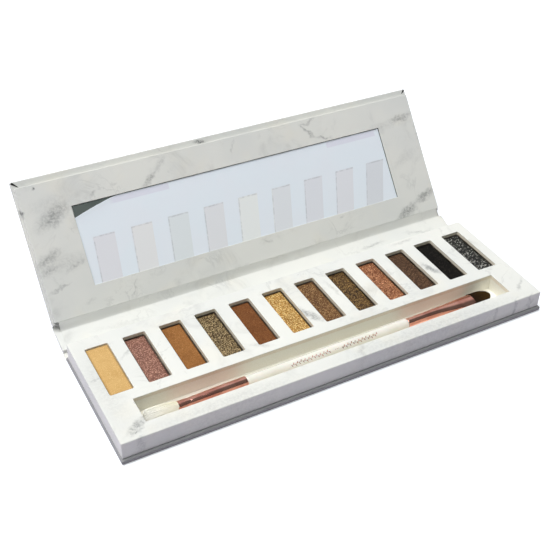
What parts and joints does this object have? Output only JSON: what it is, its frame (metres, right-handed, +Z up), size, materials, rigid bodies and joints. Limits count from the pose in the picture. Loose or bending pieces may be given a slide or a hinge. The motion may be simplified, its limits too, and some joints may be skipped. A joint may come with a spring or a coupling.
{
  "type": "eyeshadow palette",
  "caption": "Book-style eyeshadow palette: a paper-wrapped tray with a row of powder pans and a brush well, and a folding mirrored lid held by a spine board.",
  "frame": {"origin": "centre of the base board's underside, where the palette rests on a table", "axes": "+X along the length, to the user's right; +Y from the user to the spine and lid; +Z up"},
  "size_m": [0.2112, 0.1265, 0.0581],
  "materials": {
    "marble_paper": "satin-coated marble-print paper on greyboard",
    "lining_paper": "plain coated lining paper",
    "greyboard": "raw greyboard",
    "steel_plate": "zinc-plated",
    "magnet": "nickel-plated",
    "tin": "pressed tinplate",
    "adhesive": "double-sided tape",
    "mirror_glass": "silvered glass",
    "film": "cloudy protective film",
    "white_lacquer": "glossy white lacquer",
    "rose_gold": "rose-gold anodised",
    "pale_bristle": "soft synthetic hair",
    "dark_bristle": "firm synthetic hair",
    "powder_cream": "matte pressed powder",
    "powder_rose_brown": "shimmer pressed powder",
    "powder_caramel": "matte pressed powder",
    "powder_olive_taupe": "shimmer pressed powder",
    "powder_russet": "matte pressed powder",
    "powder_gold_glitter": "glitter pressed powder",
    "powder_satin_brown": "satin pressed powder",
    "powder_bronze": "shimmer pressed powder",
    "powder_terracotta": "shimmer pressed powder",
    "powder_dark_brown": "satin pressed powder",
    "powder_black": "matte pressed powder",
    "powder_charcoal_glitter": "glitter pressed powder"
  },
  "bodies": {
    "base": {"base_board": "marble_paper", "tray_wall_front": "marble_paper", "tray_wall_rear": "marble_paper", "tray_wall_left": "marble_paper", "tray_wall_right": "marble_paper", "tray_top": "marble_paper", "pan_carrier": "greyboard", "pan_deck": "greyboard", "deck_risers": "greyboard", "well_floor_lining": "lining_paper", "well_wall_front": "lining_paper", "well_wall_rear": "lining_paper", "well_wall_left": "lining_paper", "well_wall_right": "lining_paper", "catch_plates": "steel_plate", "pan_01": "tin", "pan_02": "tin", "pan_03": "tin", "pan_04": "tin", "pan_05": "tin", "pan_06": "tin", "pan_07": "tin", "pan_08": "tin", "pan_09": "tin", "pan_10": "tin", "pan_11": "tin", "pan_12": "tin", "powder_01": "powder_cream", "powder_02": "powder_rose_brown", "powder_03": "powder_caramel", "powder_04": "powder_olive_taupe", "powder_05": "powder_russet", "powder_06": "powder_gold_glitter", "powder_07": "powder_satin_brown", "powder_08": "powder_bronze", "powder_09": "powder_terracotta", "powder_10": "powder_dark_brown", "powder_11": "powder_black", "powder_12": "powder_charcoal_glitter", "lower_crease": "marble_paper", "lower_liner": "lining_paper"},
    "spine": {"spine_board": "marble_paper", "spine_lining": "lining_paper", "upper_crease": "marble_paper", "upper_liner": "lining_paper"},
    "lid": {"lid_board": "marble_paper", "lid_panel": "marble_paper", "mirror_tape": "adhesive", "mirror_glass_plate": "mirror_glass", "mirror_film": "film", "lid_magnets": "magnet"},
    "brush": {"brush_handle": "white_lacquer", "blending_ferrule": "rose_gold", "blending_head": "pale_bristle", "shader_ferrule": "rose_gold", "shader_head": "dark_bristle"}
  },
  "joints": [
    {"name": "spine_fold", "type": "hinge", "parent": "base", "child": "spine", "pos_m": [0, 0.0354, 0.00015], "axis": [1, 0, 0], "range_deg": [-16, 74], "deforming": ["lower_crease", "lower_liner"]},
    {"name": "lid_fold", "type": "hinge", "parent": "spine", "child": "lid", "pos_m": [0, 0.04934, 0.00415], "axis": [1, 0, 0], "range_deg": [-34.3, 55.7], "deforming": ["upper_crease", "upper_liner"]},
    {"name": "brush_lift", "type": "slide", "parent": "base", "child": "brush", "axis": [0, 0, 1], "range_m": [0, 0.04]}
  ]
}
